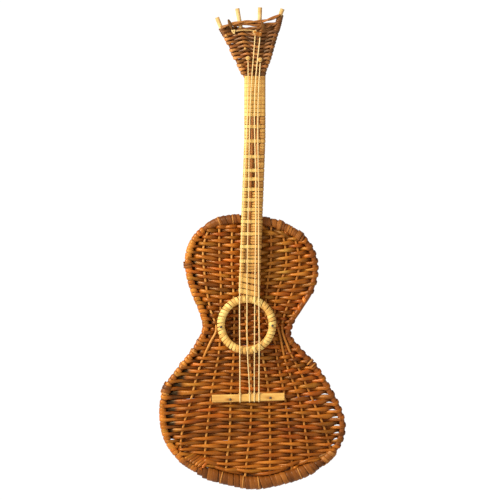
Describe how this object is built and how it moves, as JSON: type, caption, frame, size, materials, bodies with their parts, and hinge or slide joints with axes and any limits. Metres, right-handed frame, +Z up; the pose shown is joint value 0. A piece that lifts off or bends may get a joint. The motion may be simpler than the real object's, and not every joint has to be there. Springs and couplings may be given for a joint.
{
  "type": "wicker guitar wall hanging",
  "caption": "Guitar-shaped wall decoration woven in brown willow on a bent rim rod, with a cane-wound neck and soundhole hoop, a cane bridge and fibre strings.",
  "frame": {"origin": "the point on the wall where a hook or nail comes out to hold the head's top strand", "axes": "+Z up along the neck, +X to the right as seen from the front, the front faces -Y and the wall is the plane y = 0"},
  "size_m": [0.2404, 0.0292, 0.6113],
  "materials": {
    "brown_willow": "varnished brown willow rods, glossy",
    "stake_willow": "varnished light brown willow rods, glossy",
    "rim_willow": "varnished orange-brown willow rod, glossy",
    "binding_skein": "varnished flat willow skeins, satin to glossy",
    "pale_cane": "pale split cane, varnished satin",
    "cord_fibre": "twisted natural fibre cord",
    "nail_steel": "dull dark wire nail"
  },
  "bodies": {
    "root": {"rim_rod": "rim_willow", "top_binding": "binding_skein", "bottom_binding": "binding_skein", "stake_1": "stake_willow", "stake_2": "stake_willow", "stake_3": "stake_willow", "stake_4": "stake_willow", "stake_5": "stake_willow", "stake_6": "stake_willow", "stake_7": "stake_willow", "stake_8": "stake_willow", "weaver_01": "brown_willow", "weaver_02": "brown_willow", "weaver_03": "brown_willow", "weaver_04": "brown_willow", "weaver_05": "brown_willow", "weaver_06": "brown_willow", "weaver_07": "brown_willow", "weaver_08": "brown_willow", "weaver_09": "brown_willow", "weaver_10": "brown_willow", "weaver_11": "brown_willow", "weaver_12": "brown_willow", "weaver_13": "brown_willow", "weaver_14": "brown_willow", "neck_rod_1": "pale_cane", "neck_rod_2": "pale_cane", "neck_rod_3": "pale_cane", "neck_rod_4": "pale_cane", "neck_wrap": "pale_cane", "head_weaver_01": "brown_willow", "head_weaver_02": "brown_willow", "head_weaver_03": "brown_willow", "head_top_strand": "brown_willow", "head_lower_strand": "brown_willow", "head_twine": "cord_fibre", "soundhole_ring_core": "stake_willow", "soundhole_ring_wrap": "pale_cane", "ring_nail_left": "nail_steel", "ring_nail_right": "nail_steel", "bridge": "pale_cane", "bridge_nail_left": "nail_steel", "bridge_nail_right": "nail_steel", "string_peg_1": "pale_cane", "string_peg_2": "pale_cane", "string_peg_3": "pale_cane", "string_peg_4": "pale_cane", "string_1": "cord_fibre", "string_2": "cord_fibre", "string_3": "cord_fibre", "string_4": "cord_fibre"}
  },
  "joints": []
}
